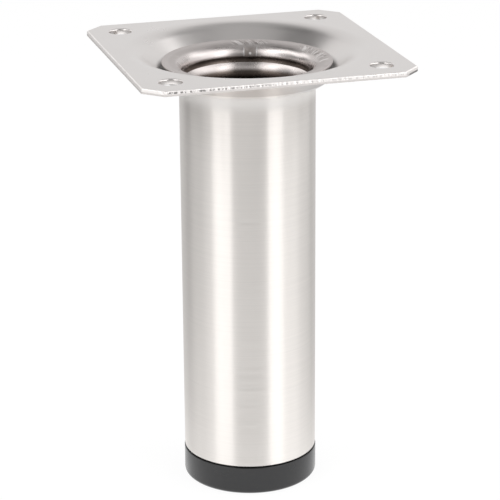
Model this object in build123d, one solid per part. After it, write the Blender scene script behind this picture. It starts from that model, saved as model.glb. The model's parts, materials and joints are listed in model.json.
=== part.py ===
from build123d import *
import os
from math import asin, atan2, cos, hypot, pi, radians, sin, tan

# A round furniture leg, in millimetres. It stands on its foot at z = 0, with its axis on Z.
overall_height = 100.0

# Tube, brushed steel
tube_diameter = 30.0
tube_wall = 2.0
tube_edge_round = 0.2

# Top end of the tube, thinned to a rim between a shoulder outside and a ledge inside, then flared over the plate
shoulder_step = 0.25
rim_wall = 0.55
rim_clearance = 0.05
ledge_rise = 0.2
ledge_lean_deg = 40.0
flare_reach = 4.5
flare_bend_radius = 2.5
flare_lip_gap = 1.3
flare_edge_round = 0.2

# Screw plate, pressed from sheet
plate_side = 60.0
plate_thickness = 1.2
plate_corner_cut = 4.0
plate_edge_round = 0.25

# Screw holes, punched from above
hole_inset = 7.0
hole_diameter = 5.0
hole_edge_round = 0.35

# Round dish in the middle of the plate, with a mouth that keeps clear of the plate's sides
dish_depth = 5.9
dish_floor_width = 2.05
dish_mouth_margin = 5.4
dish_bend_radius = 1.5
dish_mouth_bend_radius = 6.0

# Foot, moulded plastic, pushed into the tube's lower end
foot_head_height = 6.8
foot_overhang = 0.1
foot_ground_round = 1.0
foot_groove_height = 0.35
foot_groove_depth = 0.5
foot_seam_round = 0.15
shank_length = 16.0
shank_wall = 1.8
shank_draft_deg = 1.0
fin_count = 4
fin_height = 0.9
fin_thickness = 1.1
fin_clearance = 0.1
cup_floor = 3.0
cup_corner_round = 1.0

# Heights and radii that follow from the sizes above
tube_radius = tube_diameter / 2
bore_radius = tube_radius - tube_wall
rim_outer_radius = tube_radius - shoulder_step
rim_radius = rim_outer_radius - rim_wall
plate_underside = overall_height - plate_thickness
dish_floor_top = overall_height - dish_depth
dish_floor_underside = dish_floor_top - plate_thickness
dish_hole_radius = rim_outer_radius + rim_clearance
dish_floor_radius = dish_hole_radius + dish_floor_width
dish_mouth_radius = plate_side / 2 - dish_mouth_margin
dish_slope = atan2(dish_depth, dish_mouth_radius - dish_floor_radius)
hole_spacing = plate_side - 2 * hole_inset


def section(outline):
    """Stand an outline drawn as radius and height on the XZ plane."""
    return Plane.XZ * make_face(outline)


def corner(radius, height):
    """A point of a section, as radius and height."""
    return (radius, height)


def pressed_plate():
    """Sheet with a round dish, trimmed to a square with cut corners and punched."""
    # The underside of a bent sheet turns its corners later than the top by this much
    bend_shift = plate_thickness * tan(dish_slope / 2)
    underside = FilletPolyline(
        corner(dish_hole_radius, dish_floor_underside),
        corner(dish_floor_radius + bend_shift, dish_floor_underside),
        corner(dish_mouth_radius + bend_shift, plate_underside),
        corner(plate_side, plate_underside),
        radius=[dish_bend_radius + plate_thickness, dish_mouth_bend_radius],
    )
    sheet_outline = offset(underside, plate_thickness, side=Side.LEFT)
    pressed_sheet = revolve(section(sheet_outline), Axis.Z)

    blank = chamfer(Rectangle(plate_side, plate_side).vertices(), plate_corner_cut)
    blank_prism = extrude(blank, overall_height)
    plate = pressed_sheet & blank_prism

    for place in GridLocations(hole_spacing, hole_spacing, 2, 2):
        punch = Cylinder(hole_diameter / 2, overall_height, align=(Align.CENTER, Align.CENTER, Align.MIN))
        plate -= place * punch

    top_face = plate.faces().sort_by(Axis.Z)[-1]
    plate = fillet(top_face.outer_wire().edges(), plate_edge_round)
    top_face = plate.faces().sort_by(Axis.Z)[-1]
    hole_rims = [wire for wire in top_face.inner_wires() if wire.length < pi * dish_mouth_radius]
    rim_edges = [edge for wire in hole_rims for edge in wire.edges()]
    return fillet(rim_edges, hole_edge_round)


def flared_tube():
    """Tube on the foot, with a shoulder under the plate and a thin rim that is flared above it."""
    body_height = dish_floor_underside - foot_head_height
    body = Pos(0, 0, foot_head_height) * Cylinder(
        tube_radius, body_height, align=(Align.CENTER, Align.CENTER, Align.MIN)
    )
    body = fillet(body.edges().filter_by(GeomType.CIRCLE), tube_edge_round)
    ledge_height = dish_floor_underside + ledge_rise
    rim_base = Pos(0, 0, foot_head_height) * Cylinder(
        rim_outer_radius, ledge_height - foot_head_height, align=(Align.CENTER, Align.CENTER, Align.MIN)
    )

    # The bore widens to the rim in one round, which ends at the ledge
    ledge_lean = radians(ledge_lean_deg)
    ledge_run = (rim_radius - bore_radius) / sin(ledge_lean)
    ledge_start = ledge_height - ledge_run * cos(ledge_lean)
    bore_edge = FilletPolyline(
        corner(bore_radius, 0),
        corner(bore_radius, ledge_start),
        corner(rim_radius, ledge_height),
        radius=0.98 * ledge_run / tan(ledge_lean / 2),
    )
    bore_rest = Polyline(
        corner(rim_radius, ledge_height), corner(0, ledge_height), corner(0, 0), corner(bore_radius, 0)
    )
    bore = revolve(section(bore_edge + bore_rest), Axis.Z)

    # The rim bends outwards from the dish floor, then runs straight to the lip above the slope
    throat_radius = flare_bend_radius + rim_wall
    bend_height = dish_floor_top + rim_clearance
    lip_radius = rim_radius + flare_reach
    slope_height = dish_floor_top + (lip_radius - dish_floor_radius) * tan(dish_slope)
    lip_height = slope_height + flare_lip_gap + rim_wall
    lip_run = lip_radius - rim_radius - throat_radius
    lip_rise = lip_height - bend_height
    rise_angle = atan2(lip_rise, lip_run) - asin(throat_radius / hypot(lip_run, lip_rise))
    throat_corner = lip_height - flare_reach * tan(rise_angle)
    throat = FilletPolyline(
        corner(rim_radius, dish_floor_underside),
        corner(rim_radius, throat_corner),
        corner(lip_radius, lip_height),
        radius=throat_radius,
    )
    flare_outline = offset(throat, rim_wall, side=Side.RIGHT)
    flare = revolve(section(flare_outline), Axis.Z)
    lip_edges = [edge for edge in flare.edges() if edge.bounding_box().size.X > 2 * lip_radius - rim_wall]
    flare = fillet(lip_edges, flare_edge_round)
    return (body + rim_base - bore) + flare


def moulded_foot():
    """Foot head, flush with the tube below a narrow groove, on a hollow shank with springy fins."""
    head_radius = tube_radius + foot_overhang
    core_radius = bore_radius - fin_clearance - fin_height
    shank_top = foot_head_height + shank_length
    cup_depth = shank_top - cup_floor
    cup_top_radius = core_radius - shank_wall
    cup_base_radius = cup_top_radius - cup_depth * tan(radians(shank_draft_deg))
    fin_pitch = shank_length / fin_count

    head_top = foot_head_height - foot_groove_height
    head = Cylinder(head_radius, head_top, align=(Align.CENTER, Align.CENTER, Align.MIN))
    head = fillet(head.edges().group_by(Axis.Z)[-1], foot_seam_round)
    head = fillet(head.edges().group_by(Axis.Z)[0], foot_ground_round)
    seat_radius = head_radius - foot_groove_depth
    seat = Cylinder(seat_radius, foot_head_height, align=(Align.CENTER, Align.CENTER, Align.MIN))
    shank = Cylinder(core_radius, shank_top, align=(Align.CENTER, Align.CENTER, Align.MIN))
    foot = head + seat + shank

    # Each fin slopes up towards the shank, so that the foot goes in easily and grips on the way out
    for number in range(fin_count):
        fin_base = foot_head_height + fin_pitch * (number + 0.5)
        fin_outline = Polyline(
            corner(core_radius - shank_wall / 2, fin_base),
            corner(core_radius + fin_height, fin_base),
            corner(core_radius + fin_height, fin_base + fin_thickness / 2),
            corner(core_radius, fin_base + fin_thickness),
            corner(core_radius - shank_wall / 2, fin_base + fin_thickness),
            close=True,
        )
        foot += revolve(section(fin_outline), Axis.Z)

    cup = Pos(0, 0, cup_floor + cup_depth / 2) * Cone(cup_base_radius, cup_top_radius, cup_depth)
    cup = fillet(cup.edges().group_by(Axis.Z)[0], cup_corner_round)
    return foot - cup


os.makedirs("parts", exist_ok=True)
export_step(pressed_plate(), "parts/mounting_plate.step")
export_step(flared_tube(), "parts/leg_tube.step")
export_step(moulded_foot(), "parts/foot_plug.step")
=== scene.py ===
import json
from math import asin, atan2, cos, hypot, pi, radians, sin, sqrt, tan

import bmesh
import bpy
import numpy as np
from bpy.props import FloatProperty, FloatVectorProperty, IntProperty, PointerProperty
from bpy.types import Operator, Panel, PropertyGroup
from mathutils import Matrix, Vector


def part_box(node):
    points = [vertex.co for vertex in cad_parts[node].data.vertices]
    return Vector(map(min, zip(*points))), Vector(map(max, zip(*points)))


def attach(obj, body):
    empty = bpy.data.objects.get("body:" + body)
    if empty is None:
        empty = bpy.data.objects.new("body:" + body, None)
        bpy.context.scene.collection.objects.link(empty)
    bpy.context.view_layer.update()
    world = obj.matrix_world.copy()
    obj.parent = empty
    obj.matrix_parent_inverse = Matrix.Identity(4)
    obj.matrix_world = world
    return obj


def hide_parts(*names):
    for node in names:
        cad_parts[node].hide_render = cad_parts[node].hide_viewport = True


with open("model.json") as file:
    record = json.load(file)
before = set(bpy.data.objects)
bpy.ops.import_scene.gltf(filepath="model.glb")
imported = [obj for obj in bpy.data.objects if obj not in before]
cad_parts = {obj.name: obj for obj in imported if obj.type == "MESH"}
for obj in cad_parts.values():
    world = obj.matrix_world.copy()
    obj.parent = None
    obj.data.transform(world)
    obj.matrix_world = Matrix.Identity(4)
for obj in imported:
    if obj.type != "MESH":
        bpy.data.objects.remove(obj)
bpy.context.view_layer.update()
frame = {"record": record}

bl_info = {
    "name": "Furniture leg",
    "version": (1, 0, 0),
    "blender": (4, 5, 0),
    "location": "3D View > Sidebar > Leg",
    "description": "Builds a round steel furniture leg with a dished screw plate and a plastic foot",
    "category": "Add Mesh",
}

MM = 0.001
PLATE_LOW, PLATE_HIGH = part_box("mounting_plate")
TUBE_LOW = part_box("leg_tube")[0]
FOOT_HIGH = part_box("foot_plug")[1]
SCREW_HOLES = next(mount["dims"] for mount in frame["record"]["mounts"] if mount["name"] == "screw_holes")


def length(name, description, default):
    """A length that a user may change."""
    return FloatProperty(name=name, description=description, default=default, min=0.0, precision=5,
                         unit="LENGTH", subtype="DISTANCE")


def angle(name, description, default):
    """An angle that a user may change, with its default in degrees."""
    return FloatProperty(name=name, description=description, default=radians(default), unit="ROTATION",
                         subtype="ANGLE")


def share(name, description, default, highest=1.0):
    """A plain number, such as a roughness or a strength."""
    return FloatProperty(name=name, description=description, default=default, min=0.0, max=highest)


def colour(name, description, default):
    """A linear colour that a user may change."""
    return FloatVectorProperty(name=name, description=description, default=default, size=3, min=0.0,
                               max=1.0, subtype="COLOR")


class LegTubeSettings(PropertyGroup):
    """Sizes and finish of the flared tube."""
    diameter: length("Diameter", "Outside of the tube", 30.0 * MM)
    wall: length("Wall", "Thickness of the tube's wall", 2.0 * MM)
    step: length("Shoulder step", "How far the top end is stepped in under the plate", 0.25 * MM)
    rim_wall: length("Rim wall", "Thickness of the rim that is flared", 0.55 * MM)
    clearance: length("Clearance", "Gap between the rim and the plate", 0.05 * MM)
    ledge_rise: length("Ledge rise", "Height of the ledge in the bore above the shoulder", 0.2 * MM)
    ledge_lean: angle("Ledge lean", "How far the rounded ledge leans back from the bore", 40.0)
    reach: length("Flare reach", "How far the flare reaches out from the bore of the rim", 4.5 * MM)
    bend: length("Flare bend", "Radius under the flare's bend", 2.5 * MM)
    lip_gap: length("Lip gap", "Height of the flare's lip above the dish", 1.3 * MM)
    end_round: length("End round", "Rounding of the tube's edges", 0.2 * MM)
    crimp_depth: length("Crimp depth", "Depth of the flaring tool's marks", 0.16 * MM)
    crimp_count: IntProperty(name="Crimps", description="Marks of the flaring tool", default=56, min=0)
    weld_bearing: angle("Weld bearing", "Where the tube's weld seam lies", 71.3)
    weld_width: length("Weld width", "Width of the weld seam on the bend", 2.9 * MM)
    upset: length("Upset", "How far the top end is pressed out below the plate", 0.10 * MM)
    upset_height: length("Upset height", "Height of the zone that is pressed out", 2.6 * MM)
    weld_height: length("Weld height", "How far the weld seam stands proud", 0.13 * MM)
    turns: IntProperty(name="Turns", description="Steps around the tube", default=720, min=24)
    steel: colour("Steel", "Colour of the brushed steel", (0.82, 0.787, 0.755))
    bare_steel: colour("Bare steel", "Colour inside and on the flare", (0.62, 0.575, 0.56))
    roughness: share("Roughness", "Roughness across the brushing", 0.40)
    # Scorched weld colour, also used for painted shade above the ledge, down the bore and along the strokes
    soot_and_shade: colour("Soot", "Colour in the corner above the ledge and down the bore", (0.145, 0.120, 0.106))
    bare_roughness: share("Bare roughness", "Roughness of the flare's bend and the ledge", 0.28)
    flat_roughness: share("Flat roughness", "Roughness of the flat of the flare", 0.46)


class LegPlateSettings(PropertyGroup):
    """Sizes and finish of the screw plate."""
    thickness: length("Thickness", "Thickness of the sheet", 1.2 * MM)
    corner_cut: length("Corner cut", "Length cut off each side at a corner", 4.0 * MM)
    edge_round: length("Edge round", "Roll-over of the sheared edge", 0.25 * MM)
    hole_round: length("Hole round", "Roll-over of the punched holes", 0.35 * MM)
    dish_hole: length("Dish hole", "Diameter of the hole for the tube", 29.6 * MM)
    dish_floor: length("Dish floor", "Width of the dish's flat floor", 2.05 * MM)
    mouth_margin: length("Mouth margin", "From the dish's mouth to the plate's side", 5.4 * MM)
    dish_bend: length("Dish bend", "Inside radius of the bend at the dish's floor", 1.5 * MM)
    mouth_bend: length("Mouth bend", "Inside radius of the bend at the dish's mouth", 6.0 * MM)
    burr: length("Burr", "Rounding of the edges underneath", 0.06 * MM)
    nick_depth: length("Nick depth", "Depth of the shear's nicks", 0.16 * MM)
    steel: colour("Steel", "Colour of the satin sheet", (0.70, 0.67, 0.655))
    roughness: share("Roughness", "Roughness of the satin sheet", 0.30)


class LegFootSettings(PropertyGroup):
    """Sizes and finish of the plastic foot."""
    head: length("Head", "Height of the part below the tube", 6.8 * MM)
    ground_round: length("Ground round", "Rounding at the floor", 1.0 * MM)
    groove_height: length("Groove height", "Height of the groove below the tube", 0.35 * MM)
    groove_depth: length("Groove depth", "Depth of the groove below the tube", 0.5 * MM)
    seam_round: length("Seam round", "Rounding at the groove", 0.15 * MM)
    fins: IntProperty(name="Fins", description="Springy fins on the shank", default=4, min=0)
    fin_height: length("Fin height", "How far a fin stands out", 0.9 * MM)
    fin_thickness: length("Fin thickness", "Thickness of a fin at the shank", 1.1 * MM)
    fin_clearance: length("Fin clearance", "Gap between the fins and the bore", 0.1 * MM)
    shank_wall: length("Shank wall", "Wall of the hollow shank at its top", 1.8 * MM)
    draft: angle("Draft", "Taper of the hollow", 1.0)
    cup_floor: length("Cup floor", "Height of the hollow's floor", 3.0 * MM)
    cup_round: length("Cup round", "Rounding of the hollow's floor", 1.0 * MM)
    plastic: colour("Plastic", "Colour of the plastic", (0.013, 0.013, 0.0138))
    roughness: share("Roughness", "Roughness of the plastic", 0.24)


class LegStageSettings(PropertyGroup):
    """Camera and light."""
    bearing: angle("Camera bearing", "Direction that the camera looks from", -16.0)
    pitch: angle("Camera pitch", "How far the camera looks down", 19.206)
    roll: angle("Camera roll", "How far the camera leans", -0.424)
    distance: length("Camera distance", "From the aim point to the camera", 505.92 * MM)
    aim_height: length("Aim height", "Height of the aim point", 53.31 * MM)
    aim_aside: length("Aim aside", "The aim point's distance to the right of the axis", 0.32 * MM)
    lens: FloatProperty(name="Lens", description="Focal length in millimetres", default=162.1, min=1.0)
    floor: colour("Floor", "Colour of the floor", (0.90, 0.90, 0.90))
    floor_close: share("Floor close by", "Brightness of the floor by the leg, in reflections", 1.50, 5.0)
    floor_far: share("Floor far off", "Brightness of the floor further off, in reflections", 0.64, 5.0)
    front: share("Front", "Brightness of the room behind the camera", 0.17, 5.0)
    sides: share("Sides", "Brightness of the room to the left and right", 0.70, 5.0)
    left_wall: share("Left wall", "Brightness low on the left, as a share of that in front", 0.30)
    right_wall: share("Right wall", "Brightness low on the right, as a share of that in front", 2.4, 5.0)
    back: share("Back", "Brightness of the backdrop", 0.93, 5.0)
    ceiling: share("Ceiling", "Brightness of the ceiling", 0.52, 5.0)
    left_panels: share("Left panels", "Brightness of the panels in front on the left", 1.75, 20.0)
    right_panels: share("Right panels", "Brightness of the panels in front on the right", 2.15, 20.0)
    left_side: share("Left side", "Brightness of the left side panel", 0.50, 20.0)
    left_rear: share("Left rear", "Brightness of the panel behind it", 0.22, 20.0)
    right_side: share("Right side", "Brightness of the right side panel", 1.18, 20.0)
    right_rear: share("Right rear", "Brightness of the panel behind it", 0.72, 20.0)
    left_high: share("Left high lamps", "Brightness of the two lamps high on the left", 1.35, 20.0)
    right_high: share("Right high lamp", "Brightness of the lamp high on the right", 0.75, 20.0)
    back_lamp: share("Back lamp", "Brightness of the lamp at the back", 0.95, 20.0)


def rounded_outline(corners):
    """Points of an open outline with rounded corners. Each corner is (x, y, radius, points on its arc).
    An arc touches both runs at radius divided by the tangent of half the angle between them."""
    places = np.array([corner[:2] for corner in corners], dtype=float)
    runs = [places[:1]]
    for before, here, after, (_, _, radius, count) in zip(places, places[1:], places[2:], corners[1:-1]):
        back = (before - here) / np.linalg.norm(before - here)
        ahead = (after - here) / np.linalg.norm(after - here)
        half = np.arccos(np.clip(back @ ahead, -1.0, 1.0)) / 2
        if radius == 0.0:
            runs.append(here[None, :])
            continue
        middle = here + (back + ahead) / np.linalg.norm(back + ahead) * radius / np.sin(half)
        start = here + back * radius / np.tan(half) - middle
        end = here + ahead * radius / np.tan(half) - middle
        first = np.arctan2(start[1], start[0])
        turn = (np.arctan2(end[1], end[0]) - first + pi) % (2 * pi) - pi
        bearings = first + turn * np.linspace(0.0, 1.0, count)
        runs.append(middle + radius * np.stack([np.cos(bearings), np.sin(bearings)], axis=1))
    runs.append(places[-1:])
    return np.concatenate(runs)


def fine_runs(outline, longest):
    """The same outline with extra points, evenly spaced, on runs longer than the given length. The
    length may be one for each run."""
    steps = np.diff(outline, axis=0)
    counts = np.maximum(1, np.ceil(np.hypot(steps[:, 0], steps[:, 1]) / longest).astype(int))
    index = np.repeat(np.arange(len(steps)), counts)
    first = np.cumsum(counts) - counts
    fraction = (np.arange(len(index)) - first[index]) / counts[index]
    return np.concatenate([outline[index] + steps[index] * fraction[:, None], outline[-1:]])


def outline_normals(outline):
    """Unit normals to the right of an outline's direction, from the step before to the step after."""
    step = np.gradient(outline, axis=0)
    normal = np.stack([step[:, 1], -step[:, 0]], axis=1)
    return normal / np.linalg.norm(normal, axis=1, keepdims=True)


def full_turn(count):
    """Bearings at even steps round a full turn."""
    return np.arange(count) * 2 * pi / count


def turned(outline, bearings):
    """An outline of radius and height turned about Z: (r cos a, r sin a, z) at each bearing a."""
    radius = outline[:, :1]
    height = np.repeat(outline[:, 1:], len(bearings), axis=1)
    return np.stack([radius * np.cos(bearings), radius * np.sin(bearings), height], axis=-1)


def grid_quads(rows, columns, around):
    """Corner numbers of the quads of a grid of points, closed around its columns if asked."""
    number = np.arange(rows * columns).reshape(rows, columns)
    if around:
        number = np.concatenate([number, number[:, :1]], axis=1)
    low, high = number[:-1], number[1:]
    return np.stack([low[:, :-1], low[:, 1:], high[:, 1:], high[:, :-1]], axis=-1).reshape(-1, 4)


# Points closer than this are one
MERGE_DISTANCE = 1e-7


class Patchwork:
    """Grids of points that are put together into one mesh."""

    def __init__(self):
        self.points = []
        self.quads = []
        self.materials = []
        self.smooth = []
        self.count = 0

    def add(self, grid, around, material=0, smooth=True):
        """Add a grid. material is one number, or one for each row of quads."""
        rows, columns = grid.shape[:2]
        quads = grid_quads(rows, columns, around) + self.count
        per_row = len(quads) // (rows - 1)
        self.points.append(grid.reshape(-1, 3))
        self.quads.append(quads)
        self.materials.append(np.repeat(np.broadcast_to(material, rows - 1), per_row))
        self.smooth.append(np.full(len(quads), smooth))
        self.count += rows * columns

    def build(self, name, materials):
        """One object at the origin, with shared points merged and faces outwards."""
        points = np.concatenate(self.points)
        quads = np.concatenate(self.quads)
        mesh = bpy.data.meshes.new(name)
        mesh.vertices.add(len(points))
        mesh.vertices.foreach_set("co", points.ravel())
        mesh.loops.add(quads.size)
        mesh.loops.foreach_set("vertex_index", quads.ravel())
        mesh.polygons.add(len(quads))
        mesh.polygons.foreach_set("loop_start", np.arange(0, quads.size, 4))
        mesh.polygons.foreach_set("material_index", np.concatenate(self.materials))
        mesh.polygons.foreach_set("use_smooth", np.concatenate(self.smooth))
        mesh.update(calc_edges=True)
        for material in materials:
            mesh.materials.append(material)
        shell = bmesh.new()
        shell.from_mesh(mesh)
        bmesh.ops.remove_doubles(shell, verts=shell.verts, dist=MERGE_DISTANCE)
        bmesh.ops.recalc_face_normals(shell, faces=shell.faces)
        shell.to_mesh(mesh)
        shell.free()
        mesh.validate()
        piece = bpy.data.objects.new(name, mesh)
        bpy.context.scene.collection.objects.link(piece)
        return piece


def stand_for(piece, node):
    """The piece is shown in place of a node and moves with the leg."""
    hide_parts(node)
    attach(piece, "root")


class NodeTable:
    """Short calls for the nodes of a material, a group or the world."""

    def __init__(self, tree):
        self.tree = tree

    def node(self, kind, **settings):
        """A new node with its settings."""
        made = self.tree.nodes.new(kind)
        for key, value in settings.items():
            setattr(made, key, value)
        return made

    def feed(self, socket, value):
        """Link an input to an output, or give it a plain value."""
        if isinstance(value, bpy.types.NodeSocket):
            self.tree.links.new(value, socket)
        else:
            socket.default_value = value

    def put(self, node, **inputs):
        """Feed inputs by name, with underscores for spaces, or by number after an underscore."""
        for key, value in inputs.items():
            wanted = int(key[1:]) if key[0] == "_" else key.replace("_", " ")
            self.feed(node.inputs[wanted], value)
        return node

    def math(self, operation, first, second=0.0, clamp=False):
        """One value worked out from two."""
        made = self.node("ShaderNodeMath", operation=operation, use_clamp=clamp)
        return self.put(made, _0=first, _1=second).outputs[0]

    def times(self, first, *others):
        """Values multiplied together."""
        for other in others:
            first = self.math("MULTIPLY", first, other)
        return first

    def blend(self, factor, first, second):
        """A value between two others: (1 - factor) times the first, plus factor times the second."""
        rest = self.times(self.math("SUBTRACT", 1.0, factor), first)
        return self.math("ADD", rest, self.times(factor, second))

    def ramp(self, value, low, high, to_low=0.0, to_high=1.0, smooth=True):
        """A value that goes from to_low to to_high while another goes from low to high."""
        made = self.node("ShaderNodeMapRange", interpolation_type="SMOOTHSTEP" if smooth else "LINEAR")
        return self.put(made, Value=value, From_Min=low, From_Max=high, To_Min=to_low,
                        To_Max=to_high).outputs[0]

    def vary(self, value, low, high, middle, spread):
        """A value that runs evenly through a spread on both sides of a middle."""
        return self.ramp(value, low, high, middle - spread, middle + spread, smooth=False)

    def mix(self, factor, first, second):
        """A colour between two others."""
        made = self.node("ShaderNodeMix", data_type="RGBA")
        return self.put(made, _0=factor, _6=first, _7=second).outputs[2]

    def vector(self, operation, first, second=(0.0, 0.0, 0.0)):
        """The outputs of a node that works on two vectors."""
        return self.put(self.node("ShaderNodeVectorMath", operation=operation), _0=first, _1=second).outputs

    def axes(self, place):
        """The X, Y and Z of a place."""
        return self.put(self.node("ShaderNodeSeparateXYZ"), Vector=place).outputs

    def radius(self, place):
        """Distance of a place from the Z axis."""
        level = self.vector("MULTIPLY", place, (1.0, 1.0, 0.0))[0]
        return self.vector("LENGTH", level)["Value"]

    def scaled(self, vector, scale):
        """A vector with each of its parts scaled."""
        return self.put(self.node("ShaderNodeMapping"), Vector=vector, Scale=scale).outputs[0]

    def noise(self, vector, scale, detail=2.0, roughness=0.5):
        """Noise from 0 to 1."""
        made = self.node("ShaderNodeTexNoise")
        return self.put(made, Vector=vector, Scale=scale, Detail=detail, Roughness=roughness).outputs[0]

    def bump(self, height, strength, depth, **more):
        """Normals bent by a height."""
        made = self.node("ShaderNodeBump")
        return self.put(made, Height=height, Strength=strength, Distance=depth, **more).outputs[0]

    def group(self, group, **inputs):
        """The outputs of a shared group that is placed here, with its own values."""
        return self.put(self.node("ShaderNodeGroup", node_tree=group), **inputs).outputs


def opaque(values):
    """A colour with full alpha."""
    return (values[0], values[1], values[2], 1.0)


def toned(values, factor):
    """A colour made darker or lighter by a factor, with full alpha."""
    return opaque([min(1.0, factor * value) for value in values])


def above(height, steps):
    """Heights at some steps above another, or below it where a step is negative."""
    return [height + step for step in steps]


def shader_group(name, inputs, outputs):
    """An empty shader group with named sockets, its table, its given values and its output node."""
    group = bpy.data.node_groups.new(name, "ShaderNodeTree")
    for label, kind, default in inputs:
        socket = group.interface.new_socket(label, in_out="INPUT", socket_type=kind)
        if default is not None:
            socket.default_value = default
    for label, kind in outputs:
        group.interface.new_socket(label, in_out="OUTPUT", socket_type=kind)
    table = NodeTable(group)
    return group, table, table.node("NodeGroupInput").outputs, table.node("NodeGroupOutput")


# Stretch of lines round the girth, scale and share of the coarse lines, and scale of the clouds
GIRTH_STRETCH = (30.0, 30.0, 4500.0)
COARSE_SCALE = 0.23
COARSE_SHARE = 0.4
CLOUD_SCALE = 55.0


def brushed_lines_group():
    """Fine lines left by brushing: noise that is stretched far along one direction, at two scales."""
    group, table, given, result = shader_group(
        "brushed_lines",
        [("Vector", "NodeSocketVector", None), ("Stretch", "NodeSocketVector", GIRTH_STRETCH),
         ("Contrast", "NodeSocketFloat", 1.0)],
        [("Lines", "NodeSocketFloat"), ("Cloud", "NodeSocketFloat")])
    stretched = table.vector("MULTIPLY", given["Vector"], given["Stretch"])[0]
    fine = table.noise(stretched, 1.0, 3.0, 0.7)
    coarse = table.noise(stretched, COARSE_SCALE)
    lines = table.math("ADD", table.times(fine, 1.0 - COARSE_SHARE), table.times(coarse, COARSE_SHARE))
    spread = table.times(table.math("SUBTRACT", lines, 0.5), given["Contrast"])
    cloud = table.noise(given["Vector"], CLOUD_SCALE, 3.0, 0.55)
    table.put(result, Lines=table.math("ADD", spread, 0.5), Cloud=cloud)
    return group


def surface_grain_group():
    """Even fine grain and slow mottling, as on plated sheet and moulded plastic."""
    group, table, given, result = shader_group(
        "surface_grain",
        [("Vector", "NodeSocketVector", None), ("Grain Scale", "NodeSocketFloat", 4000.0),
         ("Mottle Scale", "NodeSocketFloat", 120.0)],
        [("Grain", "NodeSocketFloat"), ("Mottle", "NodeSocketFloat")])
    grain = table.noise(given["Vector"], given["Grain Scale"], 2.0, 0.6)
    mottle = table.noise(given["Vector"], given["Mottle Scale"], 4.0, 0.55)
    table.put(result, Grain=grain, Mottle=mottle)
    return group


def shared_groups():
    """The groups that several finishes use, made once."""
    makers = {"brushed_lines": brushed_lines_group, "surface_grain": surface_grain_group}
    return {name: bpy.data.node_groups.get(name) or make() for name, make in makers.items()}


def new_material(name):
    """A material with its table, principled shader and object coordinates."""
    material = bpy.data.materials.new(name)
    material.use_nodes = True
    table = NodeTable(material.node_tree)
    shader = material.node_tree.nodes["Principled BSDF"]
    place = table.node("ShaderNodeTexCoord").outputs["Object"]
    return material, table, shader, place


# Share of the clouds in the tone, then the band of painted light below the plate: its heights above the
# dish's underside, its colour and how far it goes over the steel, the share that is matt, and the roughness
# that it adds
CLOUD_SHARE = 0.25
LIGHT_BAND_SPAN = (-4.4 * MM, -1.6 * MM)
PAINTED_LIGHT_STEEL = (0.92, 0.895, 0.87, 1.0)
PAINTED_LIGHT_SHARE = 0.9
LIGHT_BAND_MATT = 0.5
LIGHT_BAND_ROUGHNESS = 0.11


def brushed_steel(groups, settings):
    """Steel brushed around the girth: lines run level, and highlights spread up and down. Below the plate
    it is painted paler, as painted light, and made half matt."""
    material, table, shader, place = new_material("brushed_steel")
    brushed = table.group(groups["brushed_lines"], Vector=place, Stretch=GIRTH_STRETCH, Contrast=1.6)
    lines, cloud = brushed["Lines"], brushed["Cloud"]
    tone = table.math("ADD", table.times(lines, 1.0 - CLOUD_SHARE), table.times(cloud, CLOUD_SHARE))
    steel = table.mix(tone, toned(settings.steel, 0.90), toned(settings.steel, 1.06))
    light_band = table.ramp(table.axes(place)["Z"], *above(PLATE_LOW.z, LIGHT_BAND_SPAN))
    # Painted light: the steel is painted paler in the band below the plate
    tint = table.mix(table.times(light_band, PAINTED_LIGHT_SHARE), steel, PAINTED_LIGHT_STEEL)
    metal = table.math("SUBTRACT", 1.0, table.times(light_band, LIGHT_BAND_MATT))
    rough = table.math("ADD", table.vary(lines, 0.2, 0.8, settings.roughness, 0.05),
                       table.times(light_band, LIGHT_BAND_ROUGHNESS))
    around = table.node("ShaderNodeTangent", direction_type="RADIAL", axis="Z").outputs[0]
    table.put(shader, Base_Color=tint, Metallic=metal, Roughness=rough, Anisotropic=1.0,
              Anisotropic_Rotation=0.25, Tangent=around, Normal=table.bump(lines, 0.06, 0.02 * MM))
    return material


# Where the flare's finish changes, as shares of the throat's radius outwards from the rim
FLAT_START = (0.36, 0.58)
RING_END = (0.85, 1.1)
WELD_FADE = (0.22, 0.34)
STROKE_START = (0.40, 0.60)
# The colour of painted highlights on the strokes, beside the weld and on its bead, then the bead's
# highlight: its angle up the bend and the radii of its soft edge
PAINTED_HIGHLIGHT = (0.90, 0.87, 0.86, 1.0)
BEAD_TURN = radians(18.0)
BEAD_EDGE = (0.18 * MM, 0.42 * MM)


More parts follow.
